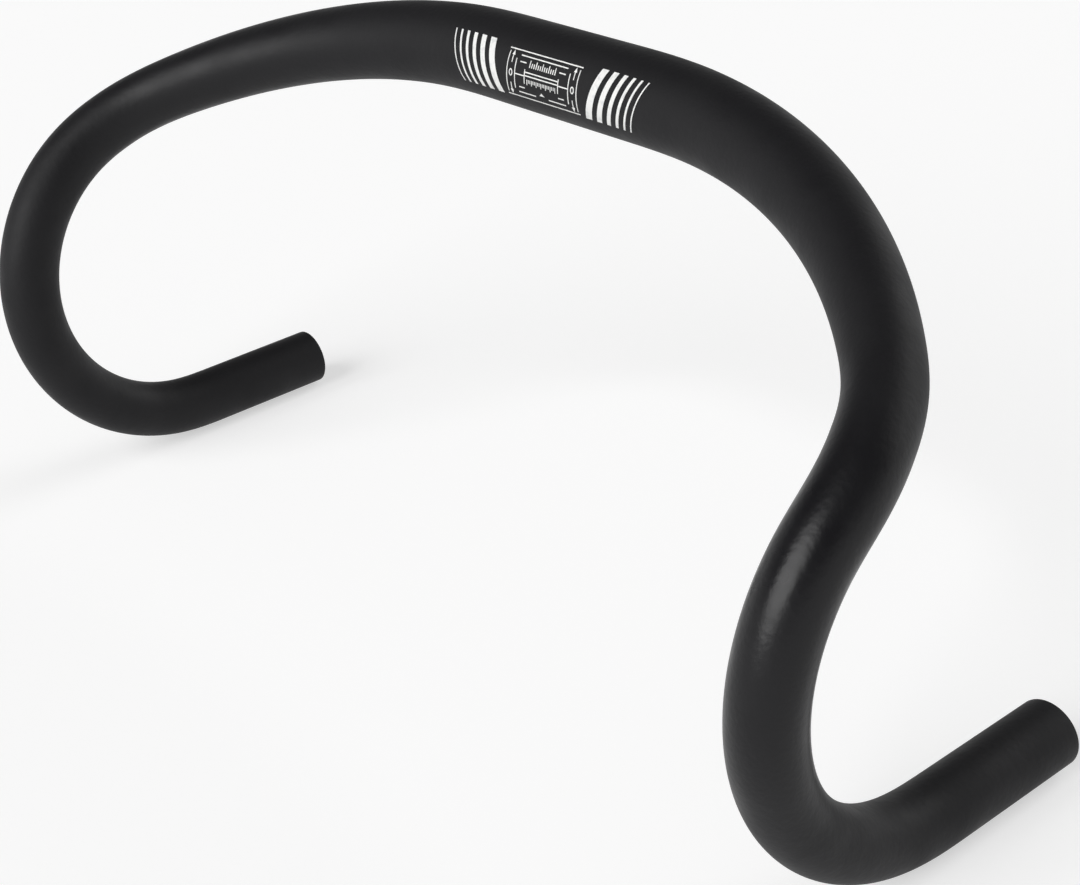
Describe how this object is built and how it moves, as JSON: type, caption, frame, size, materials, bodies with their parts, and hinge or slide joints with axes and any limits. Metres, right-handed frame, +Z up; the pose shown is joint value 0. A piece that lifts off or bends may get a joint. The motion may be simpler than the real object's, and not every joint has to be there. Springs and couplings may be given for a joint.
{
  "type": "track drop handlebar",
  "caption": "Drop bicycle handlebar bent from one tapered tube, with a straight clamp zone, long sloping tops and deep round hooks that end in short level grips.",
  "frame": {"origin": "middle of the clamp zone, on the tube's axis", "axes": "+X along the clamp zone towards the rider's right, +Y back towards the rider along the grips, +Z up"},
  "size_m": [0.44, 0.1506, 0.2052],
  "materials": {
    "satin_black": "satin",
    "white_print": "matte"
  },
  "bodies": {
    "root": {"handlebar": "satin_black"}
  },
  "joints": []
}
